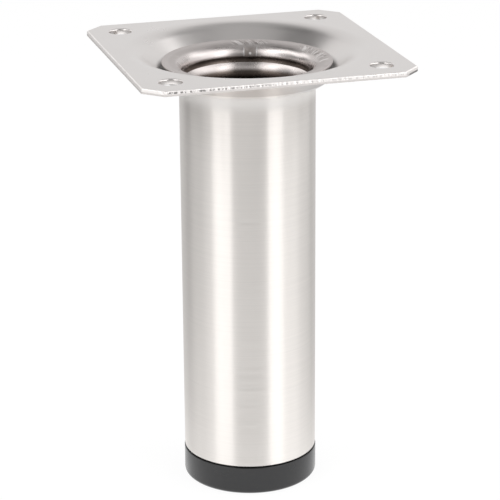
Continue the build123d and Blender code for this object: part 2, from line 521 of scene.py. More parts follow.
def bare_steel(groups, settings, shape):
    """The tube's inside and flare: unbrushed steel, matt on the flat, shiny on the bend and the ledge, with
    painted shade in the corner above the ledge and down the bore, painted shade and highlights along the
    strokes, painted highlights beside the weld and on its bead, and a scorched weld seam on the bend."""
    material, table, shader, place = new_material("bare_steel")
    grain = table.group(groups["surface_grain"], Vector=place, Grain_Scale=2600.0, Mottle_Scale=260.0)
    mottle = grain["Mottle"]
    axes = table.axes(place)
    height, radius = axes["Z"], table.radius(place)
    bearing = table.math("ARCTAN2", axes["Y"], axes["X"])
    on_flat = table.ramp(radius, *shape.out(FLAT_START))
    weld, bar_highlights = weld_masks(table, settings, shape, bearing, radius, height)
    scorched = table.times(weld, table.ramp(mottle, 0.38, 0.58, 0.35, 1.0))
    strokes = radial_strokes(table, groups, shape, bearing, radius)
    from_bead = table.vector("DISTANCE", place, shape.on_bend(BEAD_TURN, settings.weld_bearing))["Value"]

    soot_and_shade = opaque(settings.soot_and_shade)
    layers = (
        (table.times(on_flat, table.ramp(radius, *shape.out(RING_END), 0.12, 0.0)), soot_and_shade),
        # Painted shade and painted highlight on the two sides of the strokes
        (table.ramp(strokes, 0.18, 0.40, 0.0, 0.50), soot_and_shade),
        (table.ramp(strokes, -0.02, -0.30, 0.0, 0.70), PAINTED_HIGHLIGHT),
        # Painted highlights on the bars beside the weld
        (bar_highlights, PAINTED_HIGHLIGHT),
        (table.times(scorched, 0.72), soot_and_shade),
        # Painted highlight on the weld's bead
        (table.ramp(from_bead, *BEAD_EDGE, 0.9, 0.0), PAINTED_HIGHLIGHT),
        # Painted shade below the ledge, then in the corner above it and down the bore
        (table.ramp(height, *above(shape.ledge, (-0.1 * MM, 0.0)), 0.13, 0.0), soot_and_shade),
        (painted_bore_shade(table, shape, height), soot_and_shade),
    )
    tint = table.mix(mottle, toned(settings.bare_steel, 0.82), opaque(settings.bare_steel))
    for mask, over in layers:
        tint = table.mix(mask, tint, over)

    normal = table.bump(strokes, 0.4, 0.04 * MM, Normal=table.bump(grain["Grain"], 0.03, 0.03 * MM))
    rough = table.ramp(on_flat, 0.0, 1.0, settings.bare_roughness, settings.flat_roughness, smooth=False)
    rough = table.math("ADD", rough, table.vary(mottle, 0.3, 0.7, 0.0, 0.03))
    rough = table.math("ADD", rough, table.times(scorched, 0.25))
    table.put(shader, Base_Color=tint, Metallic=1.0, Normal=normal, Roughness=rough)
    return material


def weld_masks(table, settings, shape, bearing, radius, height):
    """Where the weld seam lies on the bend, and where the painted highlights on the two bars beside it do.
    """
    half = settings.weld_width / settings.diameter
    away = table.math("ABSOLUTE", table.math("SUBTRACT", bearing, settings.weld_bearing))
    along = table.times(table.ramp(height, *above(shape.bend_height, (0.0, 0.5 * MM))),
                        table.ramp(radius, *shape.out(WELD_FADE), 1.0, 0.08))
    weld = table.times(table.ramp(away, 0.75 * half, 1.1 * half, 1.0, 0.0), along)
    bar_highlights = table.times(table.ramp(away, 0.86 * half, 0.98 * half),
                       table.ramp(away, 1.06 * half, 1.18 * half, 1.0, 0.0), along)
    return weld, bar_highlights


def painted_bore_shade(table, shape, height):
    """Where shade is painted inside: from the ledge up to the bend, and down the bore."""
    corner = table.times(table.ramp(height, *above(shape.ledge, (-0.03 * MM, 0.08 * MM))),
                         table.ramp(height, *above(shape.bend_height, (0.1 * MM, 0.6 * MM)), 1.0, 0.0))
    bore = table.ramp(height, *above(shape.ledge, (-1.9 * MM, -0.9 * MM)), 1.0, 0.0)
    return table.math("ADD", corner, bore, clamp=True)


# Stretch of the strokes along arc and radius, their slant, their strength outside the crowds, and the
# middle bearing and half width of each crowd
STROKE_STRETCH = (2600.0, 170.0, 1.0)
STROKE_SLANT = 0.7
STROKES_ELSEWHERE = 0.10
STROKE_CROWDS = ((radians(6.0), radians(29.0)), (radians(72.0), radians(17.0)))


def radial_strokes(table, groups, shape, bearing, radius):
    """Fine slanting strokes on the flat of the flare, crowded on the right and by the weld: thin lines
    in arc length and radius, from about -1 to 1 and faded by bearing."""
    arc = table.times(bearing, shape.rim + shape.throat)
    slanted = table.math("SUBTRACT", arc, table.times(radius, STROKE_SLANT))
    spread_out = table.put(table.node("ShaderNodeCombineXYZ"), X=slanted, Y=radius).outputs[0]
    brushed = table.group(groups["brushed_lines"], Vector=spread_out, Stretch=STROKE_STRETCH, Contrast=6.0)
    faded = STROKES_ELSEWHERE
    for middle, half in STROKE_CROWDS:
        beside = table.math("ABSOLUTE", table.math("SUBTRACT", bearing, middle))
        faded = table.math("MAXIMUM", table.ramp(beside, 0.6 * half, half, 1.0, 0.0), faded)
    inner = table.ramp(radius, *shape.out(STROKE_START))
    outer = table.ramp(radius, *above(shape.lip, (-1.2 * MM, -0.5 * MM)), 1.0, 0.0)
    return table.times(table.math("SUBTRACT", brushed["Lines"], 0.5), faded, inner, outer)


# Heights above the dish's underside at which the painted highlight on the dish's lower corner fades, and
# its colour
CORNER_HIGHLIGHT_SPAN = (0.75 * MM, 1.15 * MM)
CORNER_HIGHLIGHT = (0.98, 0.96, 0.95, 1.0)


def satin_sheet(groups, settings):
    """Plated sheet with an even satin face, with a painted highlight low on the dish and painted shade
    under the flare.
    """
    material, table, shader, place = new_material("satin_sheet")
    grain = table.group(groups["surface_grain"], Vector=place, Grain_Scale=9137.0, Mottle_Scale=93.7)
    mottle = grain["Mottle"]
    height = table.axes(place)["Z"]
    sheet = table.mix(mottle, toned(settings.steel, 0.955), toned(settings.steel, 1.03))
    # Painted highlight along the dish's lower corner
    sheet = table.mix(table.ramp(height, *above(PLATE_LOW.z, CORNER_HIGHLIGHT_SPAN), 0.9, 0.0), sheet, CORNER_HIGHLIGHT)
    # Painted shade in the dish, in the gap under the flare's lip
    dish_shade = dish_shade_mask(table, settings, table.radius(place), height)
    sheet = table.mix(dish_shade, sheet, toned(settings.steel, 0.2))
    rough = table.vary(mottle, 0.3, 0.7, settings.roughness, 0.03)
    table.put(shader, Base_Color=sheet, Metallic=1.0, Roughness=rough,
              Normal=table.bump(grain["Grain"], 0.05, 0.02 * MM))
    return material


def dish_shade_mask(table, settings, radius, height):
    """Where shade is painted in the dish: low on its upper side, under the flare's lip. The depth below
    that side is the larger of those below its slope and below its floor, and is the sheet's thickness on
    the underside."""
    dish = DishShape(settings)
    out = table.math("SUBTRACT", radius, dish.floor)
    rise = table.math("SUBTRACT", height, dish.floor_height)
    below_slope = table.math("SUBTRACT", table.times(out, sin(dish.slope)),
                             table.times(rise, cos(dish.slope)))
    depth = table.math("MAXIMUM", below_slope, table.times(rise, -1.0))
    upper_side = table.ramp(depth, 0.3 * settings.thickness, 0.7 * settings.thickness, 1.0, 0.0)
    return table.times(upper_side, table.ramp(rise, 1.6 * MM, 2.5 * MM, 0.85, 0.0))


# Stretch of the upright streaks, scale of the painted shade of the nicks, and where along X it thins out
SHEAR_STRETCH = (2600.0, 2600.0, 60.0)
NICK_SCALE = 1500.0
NICK_CROWD = (-20.0 * MM, 4.0 * MM)


def sheared_edge(groups, settings):
    """The cut edge of the sheet: a bright band above, where the shear cut, lightened by a painted
    highlight, and a grey torn band below, with painted shade on the near right corner. Painted shade of
    nicks crowds on the left of the near side."""
    material, table, shader, place = new_material("sheared_edge")
    streaked = table.group(groups["brushed_lines"], Vector=place, Stretch=SHEAR_STRETCH, Contrast=1.2)
    streaks = streaked["Lines"]
    axes = table.axes(place)
    height = axes["Z"]
    low = PLATE_HIGH.z - settings.thickness

    def at(*shares):
        """Heights at shares of the sheet's thickness."""
        return above(low, [part * settings.thickness for part in shares])

    # Painted shade of the shear's nicks, as dark spots
    nick_shade = table.ramp(table.noise(table.scaled(place, (1.0, 1.0, 0.45)), NICK_SCALE, 1.0), 0.47, 0.56)
    band = table.times(table.ramp(height, *at(0.70, 0.84), 1.0, 0.0), table.ramp(height, *at(0.36, 0.5)))
    near_side = table.ramp(axes["Y"], *above(PLATE_LOW.y, (0.6 * MM, 0.8 * MM)), 1.0, 0.0)
    crowd = table.ramp(axes["X"], *NICK_CROWD, 1.0, 0.30)
    # The shear's bright band, lightened past the sheet's colour as a painted highlight
    bright = table.mix(streaks, toned(settings.steel, 1.25), toned(settings.steel, 1.45))
    bright = table.mix(table.times(nick_shade, band, crowd, near_side), bright, toned(settings.steel, 0.40))

    # Painted shade on the torn band at the near right corner
    corner = table.times(table.ramp(axes["X"], *above(PLATE_HIGH.x, (-3.4 * MM, -2.6 * MM))),
                         table.ramp(axes["Y"], *above(PLATE_LOW.y, (4.0 * MM, 4.4 * MM)), 1.0, 0.0))
    torn_and_shaded = table.mix(corner, opaque(settings.steel), toned(settings.steel, 0.42))
    torn = table.ramp(height, *at(0.28, 0.48), 1.0, 0.0)
    table.put(shader, Base_Color=table.mix(torn, bright, torn_and_shaded), Metallic=1.0,
              Roughness=table.ramp(torn, 0.0, 1.0, 0.45, 0.65, smooth=False),
              Normal=table.bump(streaks, 0.15, 0.03 * MM))
    return material


# Stretch of the upright streaks in a hole
PUNCH_STRETCH = (1300.0, 1300.0, 40.0)


def punched_wall(groups, settings):
    """The wall of a punched hole: steel with the punch's upright streaks, whose tones run from painted
    shade to painted glints.
    """
    material, table, shader, place = new_material("punched_wall")
    streaked = table.group(groups["brushed_lines"], Vector=place, Stretch=PUNCH_STRETCH, Contrast=3.0)
    bright = table.ramp(streaked["Lines"], 0.3, 0.7)
    # Painted shade and glints in the hole
    steel = table.mix(bright, toned(settings.steel, 0.22), toned(settings.steel, 1.3))
    table.put(shader, Base_Color=steel, Metallic=1.0, Roughness=0.4)
    return material


def foot_plastic(groups, settings):
    """Black moulded plastic with a fine satin grain."""
    material, table, shader, place = new_material("foot_plastic")
    grain = table.group(groups["surface_grain"], Vector=place, Grain_Scale=3800.0, Mottle_Scale=140.0)
    mottle = grain["Mottle"]
    plastic = table.mix(mottle, toned(settings.plastic, 0.85), toned(settings.plastic, 1.2))
    rough = table.vary(mottle, 0.3, 0.7, settings.roughness, 0.05)
    table.put(shader, Base_Color=plastic, Metallic=0.0, Roughness=rough,
              Normal=table.bump(grain["Grain"], 0.10, 0.03 * MM))
    return material


class LEG_OT_tube(Operator):
    """Build the flared tube"""
    bl_idname = "leg.tube"
    bl_label = "Flared tube"

    def execute(self, context):
        tube = context.scene.leg_tube
        shape = FlareShape(tube, context.scene.leg_plate)
        outline, finish_rows = tube_outline(tube, shape)
        bearings = full_turn(tube.turns)
        grid = turned(outline, bearings)
        normal = turned(outline_normals(outline), bearings)
        marks = flare_marks(outline, bearings, tube, shape)
        grid = grid + normal * marks[:, :, None]
        work = Patchwork()
        work.add(np.concatenate([grid, grid[:1]]), around=True, material=finish_rows)
        groups = shared_groups()
        piece = work.build("flared_tube", [brushed_steel(groups, tube), bare_steel(groups, tube, shape)])
        stand_for(piece, "leg_tube")
        return {"FINISHED"}


class DishShape:
    """Radii and heights of the plate's dish, whose wall runs straight from its floor to its mouth."""

    def __init__(self, plate):
        self.hole = plate.dish_hole / 2
        self.floor = self.hole + plate.dish_floor
        self.floor_height = PLATE_LOW.z + plate.thickness
        self.mouth = PLATE_HIGH.x - plate.mouth_margin
        self.slope = atan2(PLATE_HIGH.z - self.floor_height, self.mouth - self.floor)


# The ledge's round, as a share of the largest that fits
LEDGE_ROUND = 0.98


class FlareShape:
    """Radii and heights of the tube's top end. The flare's straight run touches the throat's arc, whose
    middle is level with the bend's start, so the run rises at the bearing of the lip from that middle,
    less the angle whose sine is the arc's radius over the distance between the two."""

    def __init__(self, tube, plate):
        self.outside = tube.diameter / 2
        self.bore = self.outside - tube.wall
        self.spigot = self.outside - tube.step
        self.rim = self.spigot - tube.rim_wall
        self.shoulder = PLATE_LOW.z
        self.ledge = self.shoulder + tube.ledge_rise
        ledge_run = (self.rim - self.bore) / sin(tube.ledge_lean)
        self.ledge_start = self.ledge - ledge_run * cos(tube.ledge_lean)
        self.ledge_round = LEDGE_ROUND * ledge_run / tan(tube.ledge_lean / 2)
        self.throat = tube.bend + tube.rim_wall
        dish = DishShape(plate)
        self.bend_height = dish.floor_height + tube.clearance
        self.lip = self.rim + tube.reach
        slope_height = dish.floor_height + (self.lip - dish.floor) * tan(dish.slope)
        self.lip_height = slope_height + tube.lip_gap + tube.rim_wall
        run, rise = self.lip - self.rim - self.throat, self.lip_height - self.bend_height
        slope = atan2(rise, run) - asin(self.throat / hypot(run, rise))
        self.throat_corner = self.lip_height - tube.reach * tan(slope)
        self.under_lip = self.lip + tube.rim_wall * sin(slope)
        self.under_lip_height = self.lip_height - tube.rim_wall * cos(slope)
        self.under_corner = self.under_lip_height - (self.under_lip - self.spigot) * tan(slope)

    def out(self, shares):
        """Radii at shares of the throat's radius outwards from the rim."""
        return [self.rim + part * self.throat for part in shares]

    def on_bend(self, turn, bearing):
        """The point of the bend at an angle from the rim's wall, at a bearing."""
        radius = self.rim + self.throat * (1.0 - cos(turn))
        height = self.bend_height + self.throat * sin(turn)
        return Vector((radius * cos(bearing), radius * sin(bearing), height))


# Longest rows of the tube's grid, and the numbers of its finishes
TUBE_ROW = 12.0 * MM
FLARE_ROW = 0.13 * MM
UPSET_ROW = 0.26 * MM
BRUSHED, BARE = 0, 1


def tube_outline(tube, shape):
    """Section of the tube as radius and height, up the outside, over the lip and down the bore, and the
    finish of each run. Below the plate the outside is pressed out by 3 s^2 - 2 s^3, with s from 0 to 1."""
    round_end = tube.end_round
    outline = rounded_outline([
        (shape.bore, TUBE_LOW.z, 0.0, 1),
        (shape.outside, TUBE_LOW.z, round_end, 5),
        (shape.outside, shape.shoulder - tube.upset_height, 0.0, 1),
        (shape.outside, shape.shoulder, round_end, 5),
        (shape.spigot, shape.shoulder, 0.0, 1),
        (shape.spigot, shape.under_corner, tube.bend, 10),
        (shape.under_lip, shape.under_lip_height, round_end, 4),
        (shape.lip, shape.lip_height, round_end, 5),
        (shape.rim, shape.throat_corner, shape.throat, 30),
        (shape.rim, shape.ledge, 0.0, 1),
        (shape.bore, shape.ledge_start, shape.ledge_round, 18),
        (shape.bore, TUBE_LOW.z + round_end, 0.0, 1),
    ])
    on_top = outline[:-1, 1] > shape.lip_height - tube.rim_wall / 2
    on_upset = (outline[:-1, 0] >= shape.outside) & (outline[:-1, 1] >= shape.shoulder - tube.upset_height)
    outline = fine_runs(outline, np.select([on_top, on_upset], [FLARE_ROW, UPSET_ROW], TUBE_ROW))
    climb = np.clip((outline[:, 1] - shape.shoulder) / tube.upset_height + 1.0, 0.0, 1.0)
    below_plate = (outline[:, 0] > shape.spigot) & (outline[:, 1] <= shape.shoulder)
    outline[:, 0] += tube.upset * climb ** 2 * (3.0 - 2.0 * climb) * below_plate
    middle = (outline + np.roll(outline, -1, axis=0)) / 2
    on_outside = (middle[:, 0] > shape.outside - tube.step / 2) & (middle[:, 1] < shape.shoulder)
    return outline, np.where(on_outside, BRUSHED, BARE)


def bell(away, width, power=2):
    """A bell curve of the distance from its middle: e to the power of -(away / width) ^ power."""
    return np.exp(-(away / width) ** power)


def around_turn(bearings, middle):
    """Bearings as seen from a middle bearing, from minus to plus half a turn."""
    return (bearings - middle + pi) % (2 * pi) - pi


# Start of the draws for the flaring tool's marks
MARK_SEED = 11
# Crowds of marks: the share of all marks, the middle bearing and the spread to both sides
CROWDS = (
    (0.50, radians(12.0), radians(19.0)),
    (0.20, radians(72.0), radians(12.0)),
    (0.30, 0.0, pi),
)
# Least and most of a mark's depth as a share of the deepest, of its width in radians, of its reach in
# millimetres and of its place as a share of the throat, then the middle and spread of its slant in
# radians a millimetre
MARK_DEPTHS = (0.3, 1.0)
MARK_WIDTHS = (0.008, 0.013)
MARK_REACHES = (0.35, 0.6)
MARK_PLACES = (0.8, 1.2)
MARK_SLANT = (-0.042, 0.012)
# The weld seam's end and fade on the throat, its width as a share of the weld's, and its steepness
SEAM_END = 0.55
SEAM_FADE = 0.2
SEAM_SHARE = 0.8
SEAM_POWER = 4


def flare_marks(outline, bearings, tube, shape):
    """How far the surface stands off the plain section. Short slanting strokes across the flare, most of
    them on the right, are each one bell curve of the radius times one of the bearing, and a weld seam
    stands proud on the bend."""
    radius, height = outline[:, 0], outline[:, 1]
    upper = height > shape.lip_height - 2 * tube.rim_wall - (shape.lip - radius)
    draw = np.random.default_rng(MARK_SEED)
    count = tube.crimp_count
    crowd = draw.choice(len(CROWDS), count, p=[part for part, _, _ in CROWDS])
    crowd_middle = np.array([middle for _, middle, _ in CROWDS])[crowd]
    crowd_spread = np.array([spread for _, _, spread in CROWDS])[crowd]
    middle = crowd_middle + crowd_spread * draw.uniform(-1.0, 1.0, count)
    depth = draw.uniform(*MARK_DEPTHS, count) * tube.crimp_depth
    width = draw.uniform(*MARK_WIDTHS, count)
    reach = draw.uniform(*MARK_REACHES, count) * MM
    place = shape.rim + draw.uniform(*MARK_PLACES, count) * shape.throat
    slant = draw.normal(*MARK_SLANT, count) / MM
    marks = np.zeros((len(outline), len(bearings)))
    for number in range(count):
        out = radius - place[number]
        turn = around_turn(bearings[None, :] + slant[number] * out[:, None], middle[number])
        marks -= depth[number] * (bell(out, reach[number]) * upper)[:, None] * bell(turn, width[number])
    bend_share = (radius - shape.rim) / shape.throat
    on_bend = np.clip((SEAM_END - bend_share) / SEAM_FADE, 0.0, 1.0) * upper
    on_bend = on_bend * np.clip((height - shape.ledge) / tube.rim_wall, 0.0, 1.0)
    seam_width = SEAM_SHARE * tube.weld_width / tube.diameter
    seam = tube.weld_height * bell(around_turn(bearings, tube.weld_bearing), seam_width, SEAM_POWER)
    return marks + on_bend[:, None] * seam[None, :]


# Steps of the plate's grids: along half a side and a cut corner, round a quarter of the dish, and those of
# the dish and of the side that the narrow strip at the middle of a side takes up. The points of the loop
# round a corner's flat are the rest, near the dish and far from it.
SIDE_STEPS = 190
CUT_STEPS = 28
QUARTER_FRACTIONS = np.concatenate([
    np.arange(SIDE_STEPS) / SIDE_STEPS,
    1.0 + np.arange(CUT_STEPS) / CUT_STEPS,
    2.0 + np.arange(SIDE_STEPS + 1) / SIDE_STEPS,
])
DISH_STEPS = 96
SIDE_ARC = 15
SIDE_RUN = 55
NEAR_POINTS = DISH_STEPS + 1 - 2 * SIDE_ARC
FAR_POINTS = len(QUARTER_FRACTIONS) - 2 * SIDE_RUN


def plate_outline(plate, inset, fractions):
    """One quarter of the plate's outline, moved in by inset: half a side, a cut corner and half a side. The
    line of the cut is x + y = side - cut - inset times the root of two."""
    half = PLATE_HIGH.x - inset
    cut_sum = 2 * PLATE_HIGH.x - plate.corner_cut - inset * sqrt(2.0)
    other = cut_sum - half
    stops = np.array([(half, 0.0), (half, other), (other, half), (0.0, half)])
    run = np.minimum(fractions.astype(int), 2)
    part = (fractions - run)[:, None]
    return stops[run] * (1 - part) + stops[run + 1] * part


def quarter_turn(points, quarter):
    """Plane points turned about the origin by a number of right angles."""
    turn = np.round(np.array([[cos(quarter * pi / 2), sin(quarter * pi / 2)],
                              [-sin(quarter * pi / 2), cos(quarter * pi / 2)]]))
    return points @ turn


def with_height(points, height):
    """Plane points at a height."""
    return np.concatenate([points, np.full(points.shape[:-1] + (1,), height)], axis=-1)


def dish_bearings(steps):
    """Bearings of numbered steps round the dish."""
    return steps * pi / 2 / DISH_STEPS


def dish_edge(flat_radius, steps):
    """Points of the dish's edge at numbered steps round it."""
    bearings = dish_bearings(steps)
    return flat_radius * np.stack([np.cos(bearings), np.sin(bearings)], axis=1)


def flat_loop(plate, flat_radius, inset):
    """The closed edge of a corner of the flat rim: along the dish and back round the outline."""
    dish = dish_edge(flat_radius, np.arange(DISH_STEPS - SIDE_ARC, SIDE_ARC - 1, -1))
    outside = plate_outline(plate, inset, QUARTER_FRACTIONS)[SIDE_RUN:-SIDE_RUN]
    return np.concatenate([dish, outside])


def side_strip(plate, flat_radius, inset):
    """Half of the narrow flat between the dish and the middle of a side: the dish's edge, with some of
    its points taken more than once, and the outline."""
    dish = dish_edge(flat_radius, np.round(np.linspace(0, SIDE_ARC, SIDE_RUN + 1)))
    return np.stack([dish, plate_outline(plate, inset, QUARTER_FRACTIONS)[:SIDE_RUN + 1]])


# The way from a screw hole to the dish, and how far to both sides of it the hole faces the dish
HOLE_INWARD = radians(225.0)
HOLE_FACING = radians(60.0)


def hole_loop(grow):
    """Points round a screw hole that is widened, one for each point of the flat loop: those that face
    the dish fill a third of the circle, so that the strips between the loops don't cross."""
    centre = SCREW_HOLES["spacing_x_mm"] * MM / 2
    radius = SCREW_HOLES["hole_r_mm"] * MM + grow
    near = HOLE_INWARD + np.linspace(-HOLE_FACING, HOLE_FACING, NEAR_POINTS)
    far_turn = 2 * pi - 2 * HOLE_FACING
    far = HOLE_INWARD + HOLE_FACING + far_turn * np.arange(1, FAR_POINTS + 1) / (FAR_POINTS + 1)
    bearings = np.concatenate([near, far])
    return centre + radius * np.stack([np.cos(bearings), np.sin(bearings)], axis=1)


def sheet_levels(plate):
    """Heights of the flat rim's top and underside."""
    return PLATE_HIGH.z, PLATE_HIGH.z - plate.thickness


def cut_profile(plate, roll_over, burr_points):
    """Profile of a cut edge, as inset and height: a roll-over, a straight wall and a small burr."""
    top, low = sheet_levels(plate)
    return rounded_outline([
        (roll_over, top, 0.0, 1),
        (0.0, top, roll_over, 8),
        (0.0, low, plate.burr, burr_points),
        (plate.burr, low, 0.0, 1),
    ])


# Longest row of the dish's grid
DISH_ROW = 1.5 * MM


def dish_outline(plate):
    """Section of the dish as radius and height, from the flat rim's top, down the slope, round the
    hole's edge and back up to the rim's underside, and the radius where the flat rim starts."""
    top, under = sheet_levels(plate)
    low = PLATE_LOW.z
    dish = DishShape(plate)
    half_turn = tan(dish.slope / 2)
    shift = plate.thickness * half_turn
    mouth_round = plate.mouth_bend + plate.thickness
    flat_radius = dish.mouth + mouth_round * half_turn
    outline = rounded_outline([
        (flat_radius, top, 0.0, 1),
        (dish.mouth, top, mouth_round, 30),
        (dish.floor, dish.floor_height, plate.dish_bend, 16),
        (dish.hole, dish.floor_height, plate.burr, 4),
        (dish.hole, low, plate.burr, 4),
        (dish.floor + shift, low, plate.dish_bend + plate.thickness, 20),
        (dish.mouth + shift, under, plate.mouth_bend, 24),
        (flat_radius, under, 0.0, 1),
    ])
    return fine_runs(outline, DISH_ROW), flat_radius


# Numbers of the plate's finishes
SHEET, EDGE, WALL = 0, 1, 2


class LEG_OT_plate(Operator):
    """Build the screw plate"""
    bl_idname = "leg.plate"
    bl_label = "Screw plate"

    def execute(self, context):
        plate = context.scene.leg_plate
        work = Patchwork()
        outline, flat_radius = dish_outline(plate)
        work.add(turned(outline, dish_bearings(np.arange(4 * DISH_STEPS))), around=True, material=SHEET)
        for quarter in range(4):
            add_corner(work, plate, flat_radius, quarter)
        work.add(sheared_wall(plate), around=True, material=EDGE)
        groups = shared_groups()
        finishes = [satin_sheet(groups, plate), sheared_edge(groups, plate), punched_wall(groups, plate)]
        piece = work.build("pressed_plate", finishes)
        stand_for(piece, "mounting_plate")
        return {"FINISHED"}


def add_corner(work, plate, flat_radius, quarter):
    """A quarter of the flat rim. On each side of the sheet a strip runs from the screw hole to the dish
    and the outline, with a narrow strip at each end, and the hole's wall joins both sides."""
    top, low = sheet_levels(plate)
    for height, inset, rim in ((top, plate.edge_round, plate.hole_round), (low, plate.burr, plate.burr)):
        strip = np.stack([hole_loop(rim), flat_loop(plate, flat_radius, inset)])
        work.add(with_height(quarter_turn(strip, quarter), height), around=True, smooth=False)
        beside = side_strip(plate, flat_radius, inset)
        for half in (beside, beside[:, :, ::-1]):
            work.add(with_height(quarter_turn(half, quarter), height), around=False, smooth=False)
    profile = cut_profile(plate, plate.hole_round, 3)
    rings = [with_height(quarter_turn(hole_loop(grow), quarter), height) for grow, height in profile]
    work.add(np.stack(rings), around=True, material=np.where(profile[:-1, 0] > 0.0, SHEET, WALL))


# Nicks of the shear: start of the draws, number, the part of the outline that holds half of them, and least
# and most of a nick's width as a share of the outline and of the root of its depth as a share of the
# deepest
NICK_SEED = 5
NICKS = 240
NICKED = (0.635, 0.785)
NICK_WIDTHS = (0.0003, 0.0010)
NICK_DEPTHS = (0.1, 1.0)


def edge_nicks(plate, count):
    """Depth of the shear's nicks along the outline, each a narrow bell curve."""
    draw = np.random.default_rng(NICK_SEED)
    middle = np.concatenate([draw.uniform(0.0, 1.0, NICKS // 2), draw.uniform(*NICKED, NICKS - NICKS // 2)])
    width = draw.uniform(*NICK_WIDTHS, NICKS)
    depth = draw.uniform(*NICK_DEPTHS, NICKS) ** 2 * plate.nick_depth
    place = np.arange(count) / count
    away = (place[None, :] - middle[:, None] + 0.5) % 1.0 - 0.5
    return (depth[:, None] * bell(away, width[:, None])).sum(axis=0)


# Longest row of the edge's grid, and the nicks' drop from the top and their height as shares of the sheet
EDGE_ROW = 0.12 * MM
NICK_DROP = 0.3
NICK_BAND = 0.18


def sheared_wall(plate):
    """The plate's edge: a roll-over at the top, a wall with nicks and a small burr, carried round the
    outline. A nick goes in towards the axis by its depth times a bell curve of the height, but the top
    row stays where it joins the flat rim."""
    profile = fine_runs(cut_profile(plate, plate.edge_round, 4), EDGE_ROW)
    top = PLATE_HIGH.z
    nicks = edge_nicks(plate, 4 * (len(QUARTER_FRACTIONS) - 1))
    rows = []
    for inset, height in profile:
        quarter = plate_outline(plate, inset, QUARTER_FRACTIONS)[:-1]
        around = np.concatenate([quarter_turn(quarter, number) for number in range(4)])
        inward = -around / np.linalg.norm(around, axis=1, keepdims=True)
        off_middle = height - top + NICK_DROP * plate.thickness
        reach = bell(off_middle, NICK_BAND * plate.thickness) * (height < top)
        rows.append(with_height(around + inward * (nicks * reach)[:, None], height))
    return np.stack(rows)


# Steps round the foot
FOOT_TURNS = 288


class LEG_OT_foot(Operator):
    """Build the plastic foot"""
    bl_idname = "leg.foot"
    bl_label = "Plastic foot"

    def execute(self, context):
        foot = context.scene.leg_foot
        outline = foot_outline(foot, context.scene.leg_tube)
        work = Patchwork()
        work.add(turned(outline, full_turn(FOOT_TURNS)), around=True)
        piece = work.build("moulded_foot", [foot_plastic(shared_groups(), foot)])
        stand_for(piece, "foot_plug")
        return {"FINISHED"}


def foot_outline(foot, tube):
    """Section of the foot as radius and height: ground face, head, groove, finned shank and cup."""
    head = FOOT_HIGH.x
    head_top = foot.head - foot.groove_height
    seat = head - foot.groove_depth
    fin = tube.diameter / 2 - tube.wall - foot.fin_clearance
    core = fin - foot.fin_height
    top = FOOT_HIGH.z
    pitch = (top - foot.head) / foot.fins
    cup_top = core - foot.shank_wall
    cup_base = cup_top - (top - foot.cup_floor) * tan(foot.draft)
    corners = [
        (0.0, 0.0, 0.0, 1),
        (head, 0.0, foot.ground_round, 12),
        (head, head_top, foot.seam_round, 8),
        (seat, head_top, 0.0, 1),
        (seat, foot.head, 0.0, 1),
        (core, foot.head, 0.0, 1),
    ]
    for number in range(foot.fins):
        base = foot.head + pitch * (number + 0.5)
        corners += [
            (core, base, 0.0, 1),
            (fin, base, 0.0, 1),
            (fin, base + foot.fin_thickness / 2, 0.0, 1),
            (core, base + foot.fin_thickness, 0.0, 1),
        ]
    corners += [
        (core, top, foot.seam_round, 4),
        (cup_top, top, foot.seam_round, 4),
        (cup_base, foot.cup_floor, foot.cup_round, 8),
        (0.0, foot.cup_floor, 0.0, 1),
    ]
    return rounded_outline(corners)


class LEG_OT_stage(Operator):
    """Set up the floor, the soft light and the camera"""
    bl_idname = "leg.stage"
    bl_label = "Stage"

    def execute(self, context):
        stage = context.scene.leg_stage
        lay_floor(stage)
        light_room(context.scene, stage)
        hang_panels(stage)
        hang_lamps(stage)
        set_camera(context.scene, stage)
        context.scene.view_settings.view_transform = "Standard"
        return {"FINISHED"}


def bearing_frame(stage):
    """Unit vectors to the camera's right and towards the camera, both level."""
    right = Vector((cos(stage.bearing), sin(stage.bearing), 0.0))
    near = Vector((sin(stage.bearing), -cos(stage.bearing), 0.0))
    return right, near


# Half the floor's width
FLOOR_REACH = 4.0


def lay_floor(stage):
    """A wide square floor under the leg."""
    mesh = bpy.data.meshes.new("floor")
    corners = [(-FLOOR_REACH, -FLOOR_REACH, 0.0), (FLOOR_REACH, -FLOOR_REACH, 0.0),
               (FLOOR_REACH, FLOOR_REACH, 0.0), (-FLOOR_REACH, FLOOR_REACH, 0.0)]
    mesh.from_pydata(corners, [], [(0, 1, 2, 3)])
    mesh.materials.append(pale_floor(stage))
    floor = bpy.data.objects.new("floor", mesh)
    bpy.context.scene.collection.objects.link(floor)


# White to the camera and how far it covers the shadow, then the bright patch in reflections: its middle,
# towards the camera and to the left, and the distances from there between which it fades
FLOOR_WHITE = 1.03
FLOOR_COVER = 0.9
PATCH_NEAR = 0.13
PATCH_LEFT = 0.03
PATCH_EDGE = (0.05, 0.27)


